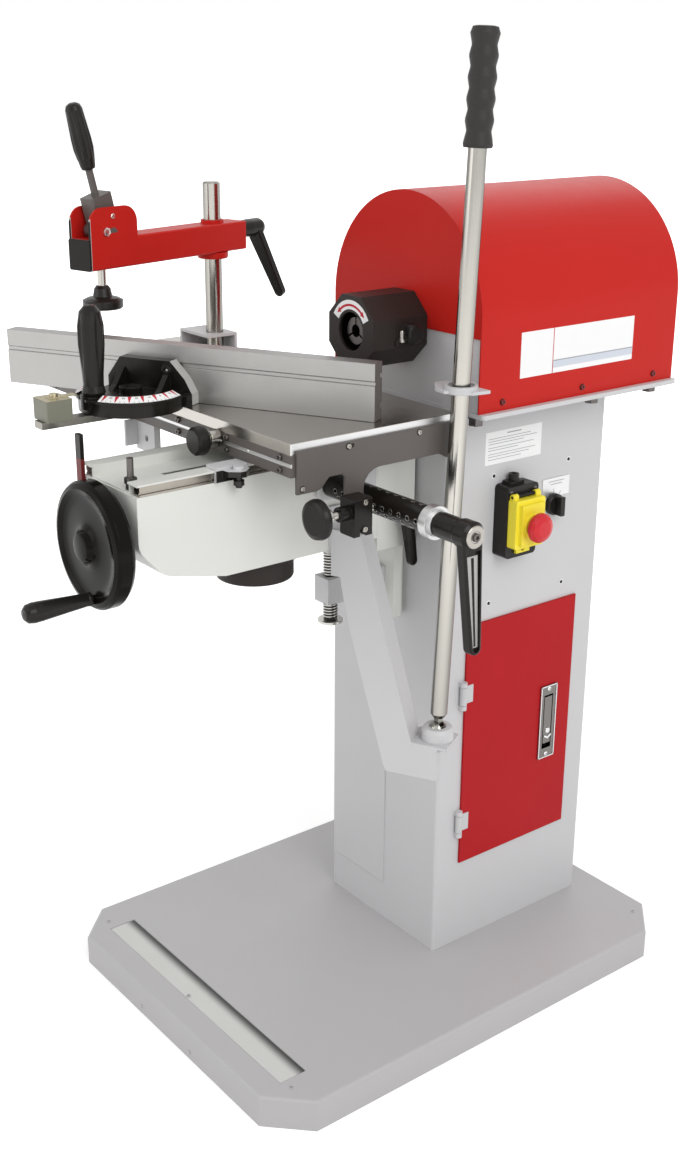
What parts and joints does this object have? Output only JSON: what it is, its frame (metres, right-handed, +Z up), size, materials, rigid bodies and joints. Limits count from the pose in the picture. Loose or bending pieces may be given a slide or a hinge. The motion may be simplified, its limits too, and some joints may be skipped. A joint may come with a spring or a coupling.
{
  "type": "horizontal slot mortiser",
  "caption": "Floor-standing slot mortiser: column on a plinth, drill spindle under a half-round hood, lifting knee with cross slide, table, mitre fence, clamp and one control lever.",
  "frame": {"origin": "middle of the base plinth's underside, at the middle of its four levelling-foot holes", "axes": "+Z up; -Y front, the side of the chuck and the handwheel; +X the side of the door, the switch and the control lever"},
  "size_m": [0.8023, 0.905, 1.2954],
  "materials": {
    "light_grey_paint": "light grey powder coat",
    "cream_paint": "cream gloss paint",
    "red_paint": "red gloss powder coat",
    "yellow_plastic": "yellow moulded plastic",
    "red_plastic": "red moulded plastic",
    "black_plastic": "black moulded plastic",
    "black_paint": "black paint",
    "black_rubber": "soft rubber",
    "steel": "ground steel",
    "chrome": "plated",
    "table_iron": "ground and darkened",
    "dark_paint": "dark grey paint",
    "aluminium": "satin anodised",
    "motor_paint": "grey motor paint"
  },
  "bodies": {
    "stand": {"base_plinth": "light_grey_paint", "column_shell": "light_grey_paint", "control_panel": "light_grey_paint", "switch_box": "black_plastic", "motor": "motor_paint", "head_plate": "light_grey_paint", "head_front_plate": "light_grey_paint", "hood": "red_paint", "chuck_guard": "black_plastic", "vertical_way": "cream_paint", "nut_bracket": "light_grey_paint"},
    "side_door": {"side_door": "red_paint", "door_latch": "chrome"},
    "latch_pull": {"latch_pull": "chrome"},
    "switch_cover": {"switch_cover": "yellow_plastic"},
    "stop_button": {"stop_button": "red_plastic"},
    "selector_knob": {"selector_knob": "black_plastic"},
    "guard_knob": {"guard_knob": "black_plastic"},
    "spindle": {"drill_chuck": "steel"},
    "knee": {"knee_shell": "cream_paint", "knee_slide": "cream_paint", "knee_rail_left": "steel", "knee_rail_right": "steel", "dust_spigot": "black_plastic", "stop_post": "black_paint", "stop_screw": "black_paint", "lever_arm": "light_grey_paint", "foot_cup": "light_grey_paint"},
    "handwheel": {"handwheel": "black_paint"},
    "crank_handle": {"crank_handle": "black_plastic"},
    "lead_screw": {"lead_screw": "steel"},
    "height_lock_lever": {"height_lock_lever": "black_paint"},
    "saddle": {"saddle": "light_grey_paint", "index_tube": "black_paint"},
    "tube_clamp_lever": {"tube_clamp_lever": "black_paint"},
    "table": {"table_top": "table_iron", "table_rail_front": "dark_paint", "table_rail_back": "dark_paint", "end_plate": "dark_paint", "index_block": "black_paint", "front_bracket": "light_grey_paint", "lever_ring_bracket": "light_grey_paint", "post_bracket": "light_grey_paint", "clamp_post": "steel"},
    "index_plunger": {"index_plunger": "steel"},
    "table_stop_knob": {"table_stop_knob": "black_plastic"},
    "lever_knuckle": {"ball_knuckle": "steel"},
    "control_lever": {"lever_rod": "steel", "lever_grip": "black_rubber"},
    "mitre_bar": {"mitre_bar": "steel", "pointer_block": "light_grey_paint"},
    "mitre_head": {"mitre_head": "black_paint", "fence": "aluminium"},
    "mitre_handle": {"mitre_handle": "black_plastic"},
    "arm_sleeve": {"arm_sleeve": "steel"},
    "clamp_arm": {"clamp_arm": "red_paint"},
    "sleeve_clamp_lever": {"sleeve_clamp_lever": "black_paint"},
    "toggle_lever": {"toggle_lever": "steel", "toggle_grip": "black_plastic"},
    "clamp_plunger": {"clamp_plunger": "steel"}
  },
  "joints": [
    {"name": "door_hinge", "type": "hinge", "parent": "stand", "child": "side_door", "pos_m": [0.1233, 0.0564, 0.342], "axis": [0, 0, -1], "range_deg": [0, 110]},
    {"name": "latch_pull_hinge", "type": "hinge", "parent": "side_door", "child": "latch_pull", "pos_m": [0.1173, 0.225, 0.326], "axis": [0, 1, 0], "range_deg": [0, 40]},
    {"name": "switch_cover_hinge", "type": "hinge", "parent": "stand", "child": "switch_cover", "pos_m": [0.1473, 0.132, 0.72], "axis": [0, -1, 0], "range_deg": [0, 95]},
    {"name": "stop_button_press", "type": "slide", "parent": "switch_cover", "child": "stop_button", "axis": [-1, 0, 0], "range_m": [0, 0.004], "stiffness_N_per_m": 900},
    {"name": "selector_turn", "type": "hinge", "parent": "stand", "child": "selector_knob", "pos_m": [0.12, 0.215, 0.685], "axis": [1, 0, 0], "range_deg": [-45, 45]},
    {"name": "guard_knob_turn", "type": "hinge", "parent": "stand", "child": "guard_knob", "pos_m": [0.0715, -0.014, 0.939], "axis": [1, 0, 0], "continuous": true},
    {"name": "spindle_spin", "type": "hinge", "parent": "stand", "child": "spindle", "pos_m": [0.027, -0.03, 0.939], "axis": [0, -1, 0], "continuous": true},
    {"name": "knee_lift", "type": "slide", "parent": "stand", "child": "knee", "axis": [0, 0, 1], "range_m": [-0.034, 0.025]},
    {"name": "handwheel_turn", "type": "hinge", "parent": "knee", "child": "handwheel", "pos_m": [0, -0.42, 0.725], "axis": [0, 1, 0], "continuous": true},
    {"name": "crank_handle_spin", "type": "hinge", "parent": "handwheel", "child": "crank_handle", "pos_m": [0.008, -0.48, 0.663], "axis": [0, -1, 0], "continuous": true},
    {"name": "lead_screw_turn", "type": "hinge", "parent": "knee", "child": "lead_screw", "pos_m": [0, -0.078, 0.63], "axis": [0, 0, 1], "continuous": true},
    {"name": "height_lock_turn", "type": "hinge", "parent": "knee", "child": "height_lock_lever", "pos_m": [0.0626, -0.014, 0.7], "axis": [1, 0, 0], "range_deg": [-50, 8]},
    {"name": "saddle_slide", "type": "slide", "parent": "knee", "child": "saddle", "axis": [0, 1, 0], "range_m": [-0.085, 0.002]},
    {"name": "tube_clamp_turn", "type": "hinge", "parent": "saddle", "child": "tube_clamp_lever", "pos_m": [0.3, -0.13, 0.763], "axis": [1, 0, 0], "range_deg": [-60, 60]},
    {"name": "table_slide", "type": "slide", "parent": "saddle", "child": "table", "axis": [1, 0, 0], "range_m": [-0.06, 0.03]},
    {"name": "index_plunger_pull", "type": "slide", "parent": "table", "child": "index_plunger", "axis": [0, -1, 0], "range_m": [0, 0.008], "stiffness_N_per_m": 600},
    {"name": "table_stop_turn", "type": "hinge", "parent": "table", "child": "table_stop_knob", "pos_m": [0.01, -0.27, 0.8295], "axis": [0, -1, 0], "continuous": true},
    {"name": "lever_tilt_front", "type": "hinge", "parent": "knee", "child": "lever_knuckle", "pos_m": [0.1774, -0.0383, 0.441], "axis": [1, 0, 0], "range_deg": [-1, 12]},
    {"name": "lever_tilt_side", "type": "hinge", "parent": "lever_knuckle", "child": "control_lever", "pos_m": [0.1774, -0.0383, 0.441], "axis": [0, 0.9992, -0.0409], "range_deg": [-9, 5]},
    {"name": "mitre_bar_slide", "type": "slide", "parent": "table", "child": "mitre_bar", "axis": [0, 1, 0], "range_m": [-0.06, 0.005]},
    {"name": "mitre_head_turn", "type": "hinge", "parent": "mitre_bar", "child": "mitre_head", "pos_m": [-0.107, -0.307, 0.86], "axis": [0, 0, 1], "range_deg": [-15, 2]},
    {"name": "mitre_handle_spin", "type": "hinge", "parent": "mitre_head", "child": "mitre_handle", "pos_m": [-0.10707, -0.35797, 0.93], "axis": [0, 0, 1], "continuous": true},
    {"name": "arm_sleeve_slide", "type": "slide", "parent": "table", "child": "arm_sleeve", "axis": [0, 0, 1], "range_m": [-0.012, 0.045]},
    {"name": "clamp_arm_swing", "type": "hinge", "parent": "arm_sleeve", "child": "clamp_arm", "pos_m": [-0.347, -0.026, 1.014], "axis": [0, 0, 1], "range_deg": [-20, 20]},
    {"name": "sleeve_clamp_turn", "type": "hinge", "parent": "clamp_arm", "child": "sleeve_clamp_lever", "pos_m": [-0.36151, 0.03222, 1.02], "axis": [-0.2419, 0.9703, 0], "range_deg": [-50, 50]},
    {"name": "toggle_turn", "type": "hinge", "parent": "clamp_arm", "child": "toggle_lever", "pos_m": [-0.29281, -0.24335, 1.043], "axis": [0.9703, 0.2419, 0], "range_deg": [0, 70]},
    {"name": "clamp_plunger_press", "type": "slide", "parent": "clamp_arm", "child": "clamp_plunger", "axis": [0, 0, -1], "range_m": [0, 0.0155]}
  ],
  "couplings": [
    {"joint": "handwheel_turn", "follows": "knee_lift", "rad_per_m": 1570.8},
    {"joint": "lead_screw_turn", "follows": "knee_lift", "rad_per_m": 1570.8},
    {"joint": "lever_tilt_front", "follows": "saddle_slide", "rad_per_m": -2.225},
    {"joint": "lever_tilt_side", "follows": "table_slide", "rad_per_m": 2.2},
    {"joint": "clamp_plunger_press", "follows": "toggle_turn", "m_per_rad": 0.012278}
  ]
}
